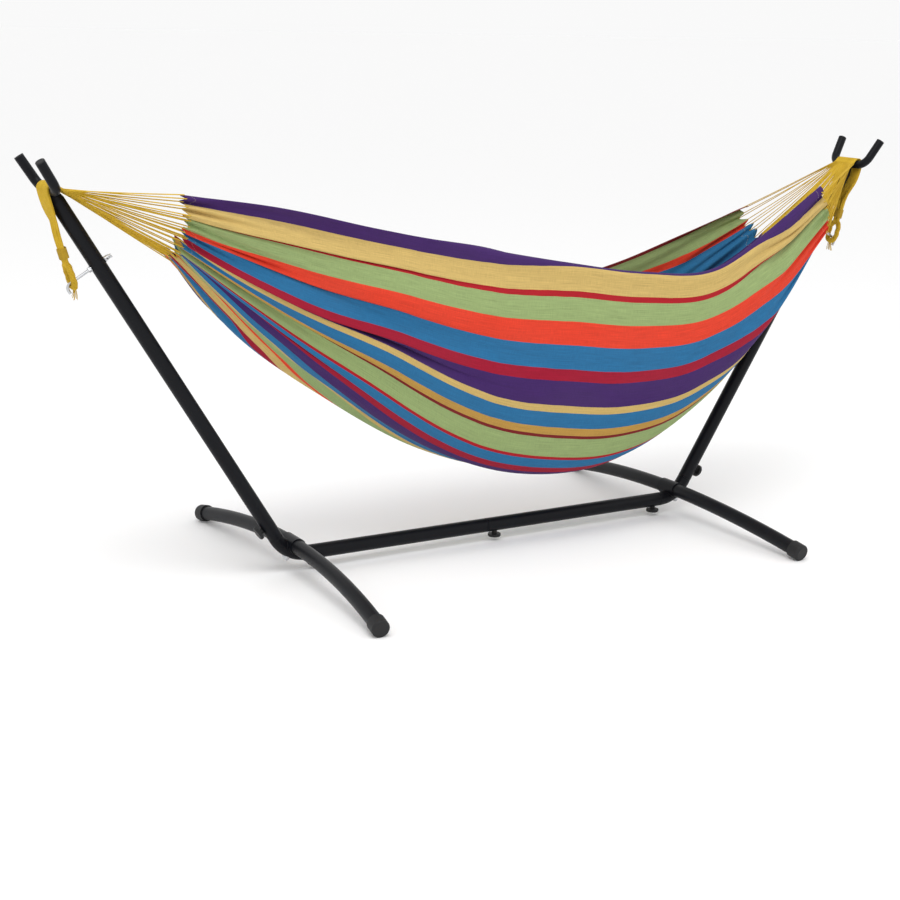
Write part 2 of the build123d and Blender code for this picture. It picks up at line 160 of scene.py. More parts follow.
def powder_coat(name, dark, pale):
    """Baked coat: fine orange peel, with soft clouds in its gloss."""
    material, surface, shade = new_finish(name)
    place = shade.node("ShaderNodeTexCoord", output="Object")
    peel = shade.noise(place, scale=1100.0, detail=2.0)
    cloud = shade.noise(place, scale=14.0, detail=5.0)
    speck = shade.noise(place, scale=420.0, detail=3.0)
    feed(surface, "Base Color", (cloud * 0.6 + speck.above(0.66) * 0.5).mix((*dark, 1), (*pale, 1)))
    feed(surface, "Roughness", 0.27 + cloud * 0.22)
    surface.inputs["Specular IOR Level"].default_value = 0.13
    feed(surface, "Normal", peel.relief(strength=0.25, distance=0.0004))
    return material


def deselect():
    bpy.ops.object.select_all(action="DESELECT")


def lay_cords(name, runs, radius, material):
    """One mesh of cords, each a smooth spline through its run's control points."""
    curve = bpy.data.curves.new(name, "CURVE")
    curve.dimensions = "3D"
    curve.bevel_depth = radius
    curve.bevel_resolution = 1
    curve.resolution_u = 5
    curve.use_fill_caps = True
    for run in runs:
        spline = curve.splines.new("NURBS")
        spline.points.add(len(run) - 1)
        for point, place in zip(spline.points, run):
            point.co = (*place, 1.0)
        spline.order_u = 3
        spline.use_endpoint_u = True
    laid = bpy.data.objects.new(name, curve)
    bpy.context.scene.collection.objects.link(laid)
    deselect()
    laid.select_set(True)
    bpy.context.view_layer.objects.active = laid
    bpy.ops.object.convert(target="MESH")
    laid = bpy.context.object
    bpy.ops.object.shade_smooth()
    laid.data.materials.clear()
    laid.data.materials.append(material)
    return laid


# Where the middle lines of beam and upright meet, the angle between them, and the sizes of the bend
corner = Vector((0.684, 0, 0.05))
bend_angle = radians(58.3)
bend_r = 0.11
tube_r = 0.021
sleeve_r = 0.024
sleeve_in = 0.036
bead_r = 0.0022
bead_steps = 80


def weld_run():
    """Closed line where the sleeve's outside meets the bent tube of the right corner."""
    outer = Vector((sin(bend_angle / 2), 0, -cos(bend_angle / 2)))
    across = Vector((cos(bend_angle / 2), 0, sin(bend_angle / 2)))
    from_bend = bend_r / cos(bend_angle / 2) - sleeve_in
    last = acos(((bend_r - tube_r) ** 2 - from_bend**2 - sleeve_r**2) / (2 * from_bend * sleeve_r))
    run = []
    for k in range(bead_steps + 1):
        a = 2 * pi * k / bead_steps
        angle = last * cos(a)
        off_axis = hypot(from_bend + sleeve_r * cos(angle), sleeve_r * sin(angle)) - bend_r
        y = sqrt(max(tube_r**2 - off_axis**2, 0)) * (1 if a < pi else -1)
        place = corner - outer * sleeve_in + outer * (sleeve_r * cos(angle)) + across * (sleeve_r * sin(angle))
        run.append((place.x, y, place.z))
    return run


stand_coat = powder_coat("stand_coat", (0.004, 0.0044, 0.006), (0.0085, 0.0092, 0.012))
dress(both_ends("upright", "beam", "corner", "fork"), stand_coat)
for end, side in ends:
    bead = lay_cords("weld_bead_" + end, [mirrored(weld_run(), side)], bead_r, stand_coat)
    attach(bead, "stand")

# Feet: one arched tube at each end, through the sleeve in the corner's crook.
# Same steel and coat as the stand, a little greyer.
dress(both_ends("foot"), powder_coat("foot_coat", (0.007, 0.0074, 0.009), (0.0145, 0.0152, 0.018)))


# Foot caps and fork plugs: moulded black plastic pushed over and into the tube ends.
# Clamp knobs: the same plastic, moulded round a threaded stud.
def moulded_plastic(name, dark, pale, roughness):
    """Fine spark-eroded grain with scuffs."""
    material, surface, shade = new_finish(name)
    place = shade.node("ShaderNodeTexCoord", output="Object")
    grain = shade.noise(place, scale=1900.0, detail=3.0)
    scuff = shade.noise(place, scale=55.0, detail=8.0)
    feed(surface, "Base Color", scuff.mix((*dark, 1), (*pale, 1)))
    feed(surface, "Roughness", roughness + scuff * 0.25)
    surface.inputs["Specular IOR Level"].default_value = 0.3
    feed(surface, "Normal", grain.relief(strength=0.4, distance=0.0003))
    return material


dress(
    both_ends("foot_cap_near", "foot_cap_far") + ["fork_tip_plugs"],
    moulded_plastic("cap_plastic", (0.008, 0.008, 0.009), (0.02, 0.02, 0.021), 0.45),
)
dress(
    ["knob_middle"] + both_ends("knob_beam", "knob_upright"),
    moulded_plastic("knob_plastic", (0.007, 0.007, 0.008), (0.018, 0.018, 0.019), 0.4),
)

# Bolts, studs, nuts, washers, hook bolts and wing nuts.
# Turned and cold-formed steel with bright zinc plating; the hook bolts go right through the uprights.
zinc, zinc_surface, zinc_shade = new_finish("zinc_steel")
zinc_place = zinc_shade.node("ShaderNodeTexCoord", output="Object")
zinc_bloom = zinc_shade.noise(zinc_place, scale=90.0, detail=6.0)
zinc_draw = zinc_shade.noise(zinc_place, scale=900.0, detail=2.0)
feed(zinc_surface, "Base Color", zinc_bloom.mix((0.42, 0.43, 0.45, 1), (0.68, 0.69, 0.7, 1)))
feed(zinc_surface, "Roughness", 0.22 + zinc_bloom * 0.2)
zinc_surface.inputs["Metallic"].default_value = 1.0
feed(zinc_surface, "Normal", zinc_draw.relief(strength=0.2, distance=0.0002))
dress(
    both_ends("stud_beam", "stud_upright", "hook_bolt", "wing_nut")
    + ["stud_middle", "weld_nuts", "foot_nuts", "foot_saddles", "foot_bolts", "hook_nuts", "hook_washers"],
    zinc,
)

# Bed: one striped cotton cloth hung between two hems.
# Woven in bands of dyed yarn along its length, gathered by the strings at the ends, slack in the middle.
# The hems are turned over twice and stitched.
cloth_width = 1.52
cloth_length = 2.62
cloth_thickness = 0.0016
rows_along = 112
rows_across = 420
row_crowding = 0.07
string_count = 25
# Sections along the bed: x, turn in plan and lean in degrees, near edge y and z, lowest thread y and z,
# far edge y and z, squareness of the hanging curve, depth of the six long folds.
stations = np.array(
    [
        (-1.018, 10, 0, -0.185, 1.088, 0.030, 0.916, 0.165, 0.919, 2.2, 0.007),
        (-0.823, 0, 0, -0.205, 1.054, 0.030, 0.706, 0.215, 0.844, 2.1, 0.012),
        (-0.533, 0, 0, -0.230, 0.988, 0.030, 0.485, 0.255, 0.804, 2.1, 0.012),
        (-0.238, 0, 0, -0.242, 0.926, 0.025, 0.304, 0.275, 0.759, 2.2, 0.009),
        (0.077, 0, 0, -0.245, 0.866, 0.015, 0.202, 0.285, 0.732, 2.3, 0.005),
        (0.352, 0, 0, -0.240, 0.823, 0.005, 0.204, 0.290, 0.722, 2.4, 0.004),
        (0.612, 0, 0, -0.230, 0.815, 0.005, 0.312, 0.280, 0.770, 2.6, 0.004),
        (0.870, 0, -3, -0.215, 0.925, 0.015, 0.522, 0.265, 0.853, 2.9, 0.007),
        (1.085, 0, -7, -0.185, 1.041, 0.015, 0.836, 0.250, 0.941, 2.6, 0.008),
    ]
)
left_end, right_end = stations[0, 0], stations[-1, 0]
fine_cut = np.linspace(0, cloth_width, 1521)
phases = np.linspace(-pi / 2, pi / 2, 241)
wander = np.random.default_rng(11).uniform(0, 2 * pi, 7)
hem_step = np.random.default_rng(5).uniform(-1, 1, (2, string_count))


def along_bed(x):
    """Smooth values between the sections."""
    knots = stations[:, 0]
    slopes = np.gradient(stations, knots, axis=0)
    i = min(max(int(np.searchsorted(knots, x)) - 1, 0), len(knots) - 2)
    step = knots[i + 1] - knots[i]
    t = (x - knots[i]) / step
    return (
        (1 + 2 * t) * (1 - t) ** 2 * stations[i]
        + t * (1 - t) ** 2 * step * slopes[i]
        + t * t * (3 - 2 * t) * stations[i + 1]
        + t * t * (t - 1) * step * slopes[i + 1]
    )


def ease(value, low, high):
    """0 below low, 1 above high, smooth between."""
    t = np.clip((value - low) / (high - low), 0, 1)
    return t * t * (3 - 2 * t)


# The near edge rolls in: full width of the roll, where along x it grows and where it shrinks, and by how much
roll_width = 0.06
roll_grows = (-0.45, 0.2)
roll_shrinks = (0.75, 1.0)
roll_loss = 0.6
curl_r = 0.016
curl_turn = 3.0
full_curl = 0.03


def roll_at(x):
    """Width of the near edge that rolls inwards, along the middle and the right of the bed."""
    return roll_width * ease(x, *roll_grows) * (1 - roll_loss * ease(x, *roll_shrinks))


# Tucks, where cloth is folded away inside: start from the near edge, width, x of the closed end and of the
# open end, how far the lip above hangs over the cloth below
tucks = (
    (0.112, 0.020, -1.02, 0.05, 0.009),
    (0.218, 0.045, -1.02, -0.62, 0.004),
    (0.266, 0.022, -1.02, 0.02, 0.009),
    (0.388, 0.078, -0.70, -0.02, 0.008),
    (0.560, 0.030, -1.02, -0.25, 0.010),
    (0.690, 0.040, -1.02, -0.40, 0.010),
    (0.064, 0.036, 1.08, 0.66, 0.004),
    (0.110, 0.034, 1.08, 0.60, 0.018),
)
tuck_hidden = 0.93
tuck_depth = 0.4
lip_width = 0.028
lip_lift = 0.5
under_width = 0.055
# How strongly each hem bunches the middle of the cloth, and where along x that sets in
right_bunch = 0.7
right_bunch_x = (0.6, 1.05)
left_bunch = 0.5
left_bunch_x = (left_end, -0.4)


def closed(x, shut, free):
    """How far a tuck is closed at x, 0 to 1."""
    return ease((x - free) / (shut - free), 0, 1)


def gathered(x, share):
    """Share of the hanging curve reached by a share of the cloth; the hems gather the middle most."""
    roll = roll_at(x)
    flat_share = np.clip((fine_cut - roll) / (cloth_width - roll), 0, 1)
    bunch = right_bunch * ease(x, *right_bunch_x) + left_bunch * (1 - ease(x, *left_bunch_x))
    spread = (fine_cut >= roll) * (1 + bunch * np.cos(2 * pi * flat_share))
    for start, width, shut, free, _ in tucks:
        inside = (fine_cut > start) & (fine_cut < start + width)
        spread = np.where(inside, spread * (1 - tuck_hidden * closed(x, shut, free)), spread)
    reached = np.concatenate([[0], np.cumsum(spread[1:] + spread[:-1])])
    return np.interp(share * cloth_width, fine_cut, reached / reached[-1])


# Long folds from hem to hem, uneven from patch to patch: waves across and along of the unevenness
long_folds = 6
peak_sharpness = 1.1
unevenness = 0.3
patch_level = 0.7
patch_swing = 0.3
patch_waves = ((7, 2.3), (-9, 3.1))
# Sideways drift of the folds along the bed: size and wave number of two waves
drift_waves = ((0.5, 2.1), (0.35, 5.3))
# The right of the near side hangs smooth: how smooth, from where along x, and how far down
calm_share = 0.7
calm_x = (-0.1, 0.25)
calm_even = (0.3, 0.55)
# Pleats, one for each string: depth, reach from the hem, and what they take from the long folds
pleat_depth = 0.010
pleat_reach = 0.10
pleat_fall = 1.4
pleat_takes = 0.5
# Farther in, two pleats make one: distance from the hem, reach, depth against a pleat's, more of it far down
pair_place = 0.12
pair_reach = 0.13
pair_share = 0.8
pair_more = 0.5
pair_more_even = (0.5, 0.7)
pair_drift = 0.8
# Fine wrinkles: depth, number across the cloth, drift, reach from the hem
wrinkles = ((0.0022, 31, 3, 0.4), (0.004, 9.3, 2.6, 0.6))


def peaked(angle):
    """A wave between -1 and 1 with narrow tops and broad hollows."""
    top, bottom = np.exp(peak_sharpness), np.exp(-peak_sharpness)
    return 2 * (np.exp(peak_sharpness * np.sin(angle)) - bottom) / (top - bottom) - 1


def cloth_folds(x, even, cut, depth):
    """How far the cloth stands in from the slack curve."""
    hem = min(x - left_end, right_end - x)
    drift = sum(size * np.sin(rate * x + start) for (size, rate), start in zip(drift_waves, wander[:2]))
    one, other = (
        np.sin(across * even + along * x + start) for (across, along), start in zip(patch_waves, wander[2:4])
    )
    patch = patch_level + patch_swing * one * other
    calm = 1 - calm_share * ease(x, *calm_x) * (1 - ease(even, *calm_even))
    folds = depth * (1 - unevenness * calm + unevenness * calm * patch) * peaked(2 * pi * long_folds * even)
    gather = np.exp(-((hem / pleat_reach) ** pleat_fall))
    folds = folds * (1 - pleat_takes * gather)
    folds += pleat_depth * gather * np.cos(2 * pi * (string_count - 1) * even)
    pairing = np.exp(-(((hem - pair_place) / pair_reach) ** 2))
    pair_depth = pleat_depth * (pair_share + pair_more * ease(even, *pair_more_even))
    pair_wave = peaked(pi * (string_count - 1) * even + pair_drift * drift + wander[4])
    folds += pair_depth * pairing * patch * pair_wave
    for (size, count, sway, reach), start in zip(wrinkles, wander[5:]):
        folds += size * calm * np.sin(2 * pi * count * even + sway * drift + start) * np.exp(-hem / reach)
    for start, width, shut, free, lip in tucks:
        into = np.clip(1 - np.abs((cut - start) / width * 2 - 1), 0, 1)
        above = np.exp(-np.clip(start - cut, 0, None) / lip_width)
        below = np.exp(-np.clip(cut - start - width, 0, None) / under_width)
        step = np.where(cut < start + width / 2, -lip_lift * above, below)
        folds += closed(x, shut, free) * (tuck_depth * width * into + lip * step)
    return folds


# The hem steps in and out from string to string, and between the pleats
step_size = 0.010
hollow_size = 0.007
step_reach = 0.1
# At the right it reaches out below the near edge, but keeps back where strings pass the wing nut
hem_spread = 0.045
spread_reach = 0.2
spread_even = (0.03, 0.2)
room_share = 1.25
room_opens = (0.23, 0.34)
room_closes = (0.67, 0.8)


def wing_room(even):
    """1 where the hem keeps back so that its strings pass the wing nut, 0 elsewhere."""
    return ease(even, *room_opens) * (1 - ease(even, *room_closes))


def cloth_row(x, share):
    """One thread line across the bed: points for shares 0 (near edge) to 1 (far edge)."""
    _, plan, lean, near_y, near_z, low_y, low_z, far_y, far_z, square, depth = along_bed(x)
    edge_y = np.where(phases < 0, near_y, far_y)
    edge_z = np.where(phases < 0, near_z, far_z)
    ys = low_y + (edge_y - low_y) * np.abs(np.sin(phases)) ** (2 / square)
    zs = low_z + (edge_z - low_z) * (1 - np.abs(np.cos(phases)) ** (2 / square))
    travelled = np.concatenate([[0], np.cumsum(np.hypot(np.diff(ys), np.diff(zs)))])
    length = travelled[-1]
    roll = roll_at(x)
    curl_drop = curl_r * min(1, roll / full_curl)
    cut = share * cloth_width
    on_curve = gathered(x, share) * (length - curl_drop) + curl_drop
    beside = 0.004
    y = np.interp(on_curve, travelled, ys)
    z = np.interp(on_curve, travelled, zs)
    dy = np.interp(on_curve + beside, travelled, ys) - np.interp(on_curve - beside, travelled, ys)
    dz = np.interp(on_curve + beside, travelled, zs) - np.interp(on_curve - beside, travelled, zs)
    size = np.hypot(dy, dz)
    up_y, up_z = -dy / size, -dz / size
    even = on_curve / length
    theta = np.clip((roll - cut) / curl_r, 0, curl_turn)
    inward = cloth_folds(x, even, cut, depth) + curl_r * (1 - np.cos(theta))
    upward = curl_r * np.sin(theta)
    y = y + up_z * inward + up_y * upward
    z = z - up_y * inward + up_z * upward
    end = 0 if x < 0 else 1
    outward = (-1, 1)[end]
    hem = min(x - left_end, right_end - x)
    reach = np.interp(even * (string_count - 1), np.arange(string_count), hem_step[end])
    pleat = np.cos(2 * pi * (string_count - 1) * even)
    x = x + outward * np.exp(-hem / step_reach) * (step_size * reach + hollow_size * (pleat - 1))
    spread = ease(even, *spread_even) - room_share * wing_room(even)
    x = x + hem_spread * end * np.exp(-hem / spread_reach) * spread
    plan = radians(plan)
    return np.stack([x + y * sin(plan) + (z - low_z) * np.tan(radians(lean)), y * cos(plan), z], axis=1)


deselect()
bpy.ops.mesh.primitive_grid_add(x_subdivisions=rows_along, y_subdivisions=rows_across, size=2.0)
bed = bpy.context.object
bed.name = "bed_cloth"
flat = np.array([v.co for v in bed.data.vertices])
columns = np.round((flat[:, 0] + 1) / 2 * rows_along).astype(int)
hung = np.zeros_like(flat)
for column in range(rows_along + 1):
    t = column / rows_along
    members = columns == column
    x = left_end + (right_end - left_end) * (t - row_crowding * sin(2 * pi * t))
    hung[members] = cloth_row(x, (flat[members, 1] + 1) / 2)
bed.data.vertices.foreach_set("co", hung.astype(np.float32).ravel())
bed.data.update()
bpy.ops.object.shade_smooth()
wall = bed.modifiers.new("wall", "SOLIDIFY")
wall.thickness = cloth_thickness
wall.offset = 0.0
bpy.ops.object.modifier_apply(modifier="wall")

# Bands of yarn from the near edge to the far edge: width in millimetres and colour as seen
purple = (0.056, 0.017, 0.138)
tan_yarn = (0.68, 0.48, 0.16)
red = (0.46, 0.006, 0.018)
green = (0.34, 0.45, 0.18)
orange = (0.85, 0.057, 0.025)
blue = (0.020, 0.175, 0.385)
crimson = (0.38, 0.005, 0.032)
gold = (0.58, 0.33, 0.07)
dark_red = (0.22, 0.012, 0.016)
bands = [
    (47, purple), (71, tan_yarn), (15, red), (72, green), (74, orange), (77, blue), (34, crimson), (74, purple),
    (28, tan_yarn), (49, blue), (34, gold), (9, dark_red), (75, green), (7, red), (45, blue), (30, crimson),
    (55, purple), (70, blue), (15, tan_yarn), (70, green), (20, orange), (60, tan_yarn), (44, crimson),
    (80, blue), (40, gold), (60, purple), (25, tan_yarn), (70, purple), (70, blue), (25, orange), (60, green),
    (15, dark_red),
]
bands_width = sum(width for width, _ in bands)
stops = []
reached = 0.0
for width, colour in bands:
    stops.append((reached / bands_width, colour))
    reached += width

# Threads, and the stitches along each hem, whose places are shares of the cloth's length
thread_pitch = 0.0021
band_raggedness = 0.0016
hem_share = 0.02
stitch_half_width = 0.0007
stitch_pitch = 0.005
stitch_thread = (0.60, 0.50, 0.32, 1)
washed_out = (0.6, 0.52, 0.42, 1)

cotton, cotton_surface, cotton_shade = new_finish("bed_cotton")
yarn_place = cotton_shade.node("ShaderNodeTexCoord", output="UV")
along_share, across_share = yarn_place.parts()
slub_place = cotton_shade.node("ShaderNodeMapping", None, {"Vector": yarn_place, "Scale": (34.0, 900.0, 1.0)})
slub = cotton_shade.noise(slub_place, scale=1.0, detail=4.0)
cross_place = cotton_shade.node("ShaderNodeMapping", None, {"Vector": yarn_place, "Scale": (1400.0, 60.0, 1.0)})
cross_slub = cotton_shade.noise(cross_place, scale=1.0, detail=3.0)
waver = cotton_shade.noise(yarn_place, scale=9.0, detail=3.0)
ragged_share = across_share + (slub - 0.5) * band_raggedness
striped = cotton_shade.node("ShaderNodeValToRGB", {"stops": stops}, {0: ragged_share})
heather = (slub * 0.9 + cross_slub * 0.4 - 0.32).mix((0.55, 0.55, 0.55, 1), (1.32, 1.32, 1.32, 1))
yarn = cotton_shade.node(
    "ShaderNodeMix", {"data_type": "RGBA", "blend_type": "MULTIPLY"}, {0: 1.0, 6: striped, 7: heather}, output=2
)
faded = (waver * 0.03).mix(yarn, washed_out)
end_share = along_share.least(1 - along_share)
in_hem = (hem_share - end_share).above(0.0)
stitch_line = (stitch_half_width - (end_share - hem_share).size()).above(0.0)
stitch = stitch_line * (across_share * (cloth_width / stitch_pitch * 2 * pi)).sine().above(-0.4)
feed(cotton_surface, "Base Color", (stitch * 0.3).mix(faded, stitch_thread))
feed(cotton_surface, "Roughness", 0.78 + slub * 0.16)
cotton_surface.inputs["Sheen Weight"].default_value = 0.02
cotton_surface.inputs["Specular IOR Level"].default_value = 0.12
warp = (across_share * (cloth_width / thread_pitch * 2 * pi)).sine()
weft = (along_share * (cloth_length / thread_pitch * 2 * pi)).sine()
weave = warp * weft * 0.5 + slub * 0.8 + in_hem * 1.6 - stitch * 1.2
feed(cotton_surface, "Normal", weave.relief(strength=0.35, distance=0.0007))
bed.data.materials.append(cotton)
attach(bed, "hammock")
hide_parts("bed")

# Ropes: all the strings of one end, laid flat over the fork's bar and drawn in to a neck.
# Twisted cotton cords, held by a whipping; the eye below it goes on the hook bolt.
fork_rise = 1.225851
eye_rise = 1.0
eye_out = 0.08
up_tube = Vector((cos(bend_angle), 0, sin(bend_angle)))
out_tube = Vector((sin(bend_angle), 0, -cos(bend_angle)))
fork_centre = corner + up_tube * fork_rise
eye_point = corner + up_tube * eye_rise + out_tube * eye_out
bar_r = 0.0127
rope_lift = 0.0046
wrap_r = bar_r + rope_lift
string_start = 0.022
cord_count = 2 * string_count - 1


def spun_cotton(name, dark, pale, twist):
    """Cord of twisted yarn: slanting ridges along its own UV map, with painted shade darkening the colour in
    the grooves between them.
    """
    material, surface, shade = new_finish(name)
    run, girth = shade.node("ShaderNodeTexCoord", output="UV").parts()
    place = shade.node("ShaderNodeTexCoord", output="Object")
    fuzz = shade.noise(place, scale=700.0, detail=3.0)
    shift = shade.noise(place, scale=38.0, detail=3.0)
    plies = 3
    ridge = (run * twist + girth * (2 * pi * plies)).sine()
    # Painted shade: the ridge term darkens the colour in the grooves between the plies; fuzz and shift are
    # random yarn tone.
    yarn_tone_and_groove_shade = ridge * 0.18 + fuzz * 0.5 + shift * 0.55 - 0.1
    feed(surface, "Base Color", yarn_tone_and_groove_shade.mix((*dark, 1), (*pale, 1)))
    feed(surface, "Roughness", 0.72 + fuzz * 0.2)
    surface.inputs["Sheen Weight"].default_value = 0.03
    surface.inputs["Specular IOR Level"].default_value = 0.12
    feed(surface, "Normal", (ridge * 0.6 + fuzz * 0.5).relief(strength=0.5, distance=0.0006))
    return material


yarn_dark = (0.46, 0.28, 0.012)
yarn_pale = (0.84, 0.58, 0.06)
rope_cotton = spun_cotton("rope_cotton", yarn_dark, yarn_pale, 900.0)


def wrap_angle(target, side):
    """Angle at which a taut run from the target touches the rope's circle round the fork bar."""
    away = target - fork_centre
    return atan2(away.z, away.x) + side * acos(wrap_r / Vector((away.x, away.z)).length)


def on_bar(angle, radius):
    """Point round the fork bar."""
    return fork_centre + Vector((cos(angle), 0, sin(angle))) * radius


def bar_corners(radius, first, last, count):
    """Control points whose smooth spline runs round the bar."""
    step = (last - first) / count
    reach = radius / cos(step / 2)
    return [on_bar(first + step * (i + 0.5), reach) for i in range(count)]


# Places on each hem, near to far, where the strings are held: pleats and hollows by turns
hems = {}
for end, hem_x in (("left", left_end), ("right", right_end)):
    fine_shares = np.linspace(0, 1, 2001)
    pleat_shares = np.interp(np.linspace(0, 1, cord_count), gathered(hem_x, fine_shares), fine_shares)
    hems[end] = cloth_row(hem_x, pleat_shares)
right_middle = Vector(np.mean(hems["right"], axis=0))
right_middle.y = 0

tail_angle = wrap_angle(eye_point, 1)
run_angle = wrap_angle(right_middle, -1) % (2 * pi)
tail_top = on_bar(tail_angle, wrap_r)
run_top = on_bar(run_angle, wrap_r)
run_down = (right_middle - run_top).normalized()
run_start = run_top + run_down * ((run_top.x - fork_centre.x + string_start) / -run_down.x)
tail_down = (eye_point - tail_top).normalized()
tail_side = Vector((-tail_down.z, 0, tail_down.x))
# Cords lie in two layers on the bar
cord_r = 0.0017
cords_width = 0.084
lower_layer = 0.0024
layer_step = 0.0032
layer_gap = 0.0034
bar_steps = 5
flat_run = 0.045
# Share of its place across the bar that a cord keeps at the end of the flat run, and halfway to the neck
flat_keep = 0.98
half_keep = 0.6
# In the neck they are spread over a rounded section, which begins and ends this far above the eye's middle
neck_start = 0.122
neck_end = 0.044
neck_taper = 0.8
neck_half_width = 0.0118
neck_half_depth = 0.0094
neck_sweep = 5.2
layer_sweep = 0.6
neck_core = 0.45
neck_outer = 0.55
cord_scatter = 0.618
layer_scatter = 0.37


def rope_runs(side):
    """Control points of every cord of one rope, and where its strings start."""
    runs = []
    starts = [None] * cord_count
    for layer, count in ((1, string_count), (0, string_count - 1)):
        for i in range(count):
            share = (i + 0.5 * (1 - layer)) / (string_count - 1) - 0.5
            y = share * cords_width
            radius = bar_r + lower_layer + layer * layer_step
            lift = (layer - 0.5) * layer_gap
            start = run_start + Vector((run_down.z, 0, -run_down.x)) * -lift
            starts[2 * i + 1 - layer] = Vector((side * start.x, y, start.z))
            place = (i * cord_scatter + layer * layer_scatter) % 1.0
            angle = share * neck_sweep + layer * layer_sweep
            spread = neck_core + neck_outer * sqrt(place)
            neck_y = neck_half_width * spread * sin(angle)
            neck_out = neck_half_depth * spread * cos(angle)
            neck_top = eye_point - tail_down * neck_start + tail_side * neck_out
            neck_low = eye_point - tail_down * neck_end + tail_side * neck_out * neck_taper
            flat_end = tail_top + tail_down * flat_run + tail_side * lift
            points = [(start, y)]
            points += [(p, y) for p in bar_corners(radius, run_angle, tail_angle, bar_steps)]
            points += [
                (flat_end, y * flat_keep),
                (flat_end.lerp(neck_top, 0.5), y * half_keep + neck_y * (1 - half_keep)),
                (neck_top, neck_y),
                (neck_top.lerp(neck_low, 0.5), neck_y),
                (neck_low, neck_y * neck_taper),
            ]
            runs.append(mirrored([(p.x, q, p.z) for p, q in points], side))
    return runs, starts


string_starts = {}
for end, side in ends:
    runs, string_starts[end] = rope_runs(side)
    rope = lay_cords("rope_cords_" + end, runs, cord_r, rope_cotton)
    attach(rope, "stand")
    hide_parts("rope_" + end)

# Eyes: the rope's end turned back on itself and served with cord all the way round.
# A few loose yarns hang from the bottom of each.
eye_strand_r = 0.0085
eye_turn_r = 0.0185
eye_low = 0.0048
eye_straight = 0.025
core_steps = 40
core_press = 0.0008
serving_r = 0.0015
serving_turns = 50
turn_steps = 10
serving_wobble = 0.0006
wobble_rate = 7.3
across_rope = Vector((0, 1, 0))


def eye_place(share):
    """Point and outward direction on the eye's oval, share 0 to 1 round it."""
    arc = pi * eye_turn_r
    travel = (share % 1.0) * 2 * (arc + eye_straight)
    if travel < eye_straight:
        return Vector((eye_turn_r, eye_low + travel)), Vector((1, 0))
    if travel < eye_straight + arc:
        a = (travel - eye_straight) / eye_turn_r
        out = Vector((cos(a), sin(a)))
        return Vector((0, eye_low + eye_straight)) + out * eye_turn_r, out
    if travel < 2 * eye_straight + arc:
        return Vector((-eye_turn_r, eye_low + 2 * eye_straight + arc - travel)), Vector((-1, 0))
    a = pi + (travel - 2 * eye_straight - arc) / eye_turn_r
    out = Vector((cos(a), sin(a)))
    return Vector((0, eye_low)) + out * eye_turn_r, out


def serving_run():
    """Serving cord wound round the oval."""
    winding = []
    for k in range(serving_turns * turn_steps + 1):
        middle, out = eye_place(k / (serving_turns * turn_steps))
        a = 2 * pi * k / turn_steps
        radius = eye_strand_r - serving_r + serving_wobble * sin(wobble_rate * k / turn_steps)
        flat = middle + out * (radius * cos(a))
        winding.append(eye_point + across_rope * flat.x - tail_down * flat.y + tail_side * (radius * sin(a)))
    return winding


def core_run():
    """The strand under the serving."""
    oval = [eye_place(k / core_steps)[0] for k in range(core_steps + 1)]
    return [eye_point + across_rope * middle.x - tail_down * middle.y for middle in oval]


yarn_count = 16
yarn_r = 0.0006
yarn_half_width = 0.006
yarn_half_depth = 0.004
yarn_lengths = (0.016, 0.032)
yarn_grip = 0.004
yarn_root = eye_turn_r + eye_strand_r - eye_low - yarn_grip
middle_flare = 0.3
tip_flare = 0.9


def loose_yarns():
    """Short frayed yarns below the eye."""
    yarns = []
    scatter = np.random.default_rng(3)
    for _ in range(yarn_count):
        y = scatter.uniform(-yarn_half_width, yarn_half_width)
        out = scatter.uniform(-yarn_half_depth, yarn_half_depth)
        length = scatter.uniform(*yarn_lengths)
        top = eye_point + tail_down * yarn_root + Vector((0, y, 0)) + tail_side * out
        mid = top + tail_down * length * 0.5 + Vector((0, y * middle_flare, 0))
        tip = top + Vector((0, y * tip_flare, -length)) + tail_side * out
        yarns.append((top, mid, tip))
    return yarns


serving_cotton = spun_cotton("serving_cotton", yarn_dark, yarn_pale, 2600.0)
core_r = eye_strand_r - 2 * serving_r + core_press
for end, side in ends:
    eye = lay_cords("rope_eye_serving_" + end, [mirrored(serving_run(), side)], serving_r, serving_cotton)
    core = lay_cords("rope_eye_core_" + end, [mirrored(core_run(), side)], core_r, serving_cotton)
    fray_runs = [mirrored(run, side) for run in loose_yarns()]
    fray = lay_cords("rope_fray_" + end, fray_runs, yarn_r, rope_cotton)
    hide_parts("rope_eye_" + end)
    for piece in (eye, core, fray):
        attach(piece, "stand")

# Whippings: thread wound tightly round the rope's neck, above each eye.
# Cotton thread in one layer, turn against turn, so that the cords can't spread.
whip_r = 0.0011
whip_start = 0.062
whip_length = 0.03
whip_half_width = 0.0138
whip_half_depth = 0.0114
whip_roundness = 0.75
whip_steps = 16


def whip_run():
    """Thread wound round the neck's rounded section."""
    last = int(whip_length / (2 * whip_r)) * whip_steps
    thread = []
    for k in range(last + 1):
        a = 2 * pi * k / whip_steps
        y = whip_half_width * abs(cos(a)) ** whip_roundness * (1 if cos(a) > 0 else -1)
        out = whip_half_depth * abs(sin(a)) ** whip_roundness * (1 if sin(a) > 0 else -1)
        rise = whip_start + whip_r + (whip_length - 2 * whip_r) * k / last
        place = eye_point - tail_down * rise + tail_side * out
        thread.append((place.x, y, place.z))
    return thread


whip_cotton = spun_cotton("whipping_thread", (0.36, 0.21, 0.015), (0.70, 0.48, 0.06), 4000.0)
for end, side in ends:
    whipping = lay_cords("whipping_thread_" + end, [mirrored(whip_run(), side)], whip_r, whip_cotton)
    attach(whipping, "stand")
    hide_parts("whipping_" + end)
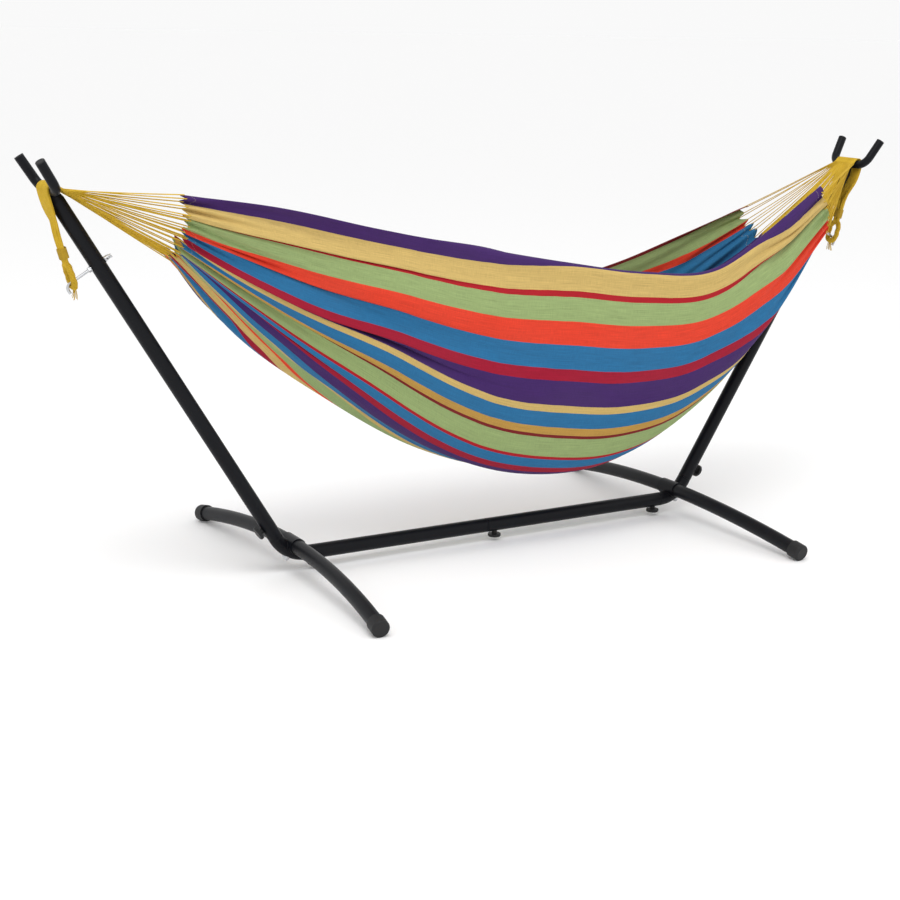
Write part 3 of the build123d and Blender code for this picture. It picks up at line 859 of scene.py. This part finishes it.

# Strings: a fan of thin cords from each rope, each doubled through the hem, at a pleat or between two.
string_r = 0.0014
string_sag = 0.002
pair_gap = 0.0016
loop_widening = 1.5
pleat_loop = 0.012
hollow_loop = 0.003
string_cotton = spun_cotton("string_cotton", yarn_dark, (0.84, 0.58, 0.07), 700.0)
for end, side in ends:
    runs = []
    for k, (start, hem_place) in enumerate(zip(string_starts[end], hems[end])):
        hem_point = Vector(hem_place)
        pull = (hem_point - start).normalized()
        apart = pull.cross(Vector((0, 0, 1))).normalized() * pair_gap
        wide = apart * loop_widening
        middle = start.lerp(hem_point, 0.5) - Vector((0, 0, string_sag))
        turn_point = hem_point + pull * (hollow_loop if k % 2 else pleat_loop)
        out_run = [start + apart, middle + apart, hem_point + wide, turn_point + wide]
        back_run = [turn_point - wide, hem_point - wide, middle - apart, start - apart]
        runs.append([tuple(place) for place in out_run + back_run])
    strings = lay_cords("strings_fan_" + end, runs, string_r, string_cotton)
    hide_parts("strings_" + end)
    middle = Vector(np.mean(hems[end], axis=0))
    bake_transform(strings)

# Studio: a white floor that runs to the horizon, under an even white sky.
# Two soft lamps: a strong one high on the left and a weak one on the right.
# The camera stands where the photo was taken.
deselect()
bpy.ops.mesh.primitive_plane_add(size=400.0)
floor = bpy.context.object
floor.name = "studio_floor"
floor_paint, floor_surface, _ = new_finish("studio_floor")
floor_surface.inputs["Base Color"].default_value = (1, 1, 1, 1)
floor_surface.inputs["Roughness"].default_value = 0.9
floor.data.materials.append(floor_paint)

world = bpy.data.worlds.new("studio")
world.use_nodes = True
sky = world.node_tree.nodes["Background"]
sky.inputs["Color"].default_value = (1, 1, 1, 1)
sky.inputs["Strength"].default_value = 0.95
bpy.context.scene.world = world
bpy.context.scene.view_settings.view_transform = "Standard"

for name, place, aim, power, size in (
    ("key_light", (-1.2, -1.9, 4.6), (0.2, 0, 0.5), 85.0, 2.8),
    ("fill_light", (3.6, -2.6, 3.2), (0, 0, 0.6), 14.0, 3.0),
):
    lamp = bpy.data.lights.new(name, "AREA")
    lamp.energy = power
    lamp.size = size
    lamp_object = bpy.data.objects.new(name, lamp)
    lamp_object.location = place
    lamp_object.rotation_euler = (Vector(aim) - Vector(place)).to_track_quat("-Z", "Y").to_euler()
    bpy.context.scene.collection.objects.link(lamp_object)

camera_place = Vector((-2.6286, -4.163, 1.5145))
yaw, pitch, roll = radians(30.626), radians(14.117), radians(1.125)
look = Vector((sin(yaw) * cos(pitch), cos(yaw) * cos(pitch), -sin(pitch)))
level = Vector((cos(yaw), -sin(yaw), 0))
rise = level.cross(look)
right = level * cos(roll) + rise * sin(roll)
above = rise * cos(roll) - level * sin(roll)
camera = bpy.data.objects.new("camera", bpy.data.cameras.new("camera"))
camera.data.sensor_width = 36.0
camera.data.lens = 68.07
camera.data.shift_x = 0.0023
camera.data.clip_end = 500.0
camera.matrix_world = Matrix(
    (
        (right.x, above.x, -look.x, camera_place.x),
        (right.y, above.y, -look.y, camera_place.y),
        (right.z, above.z, -look.z, camera_place.z),
        (0, 0, 0, 1),
    )
)
bpy.context.scene.collection.objects.link(camera)
bpy.context.scene.camera = camera
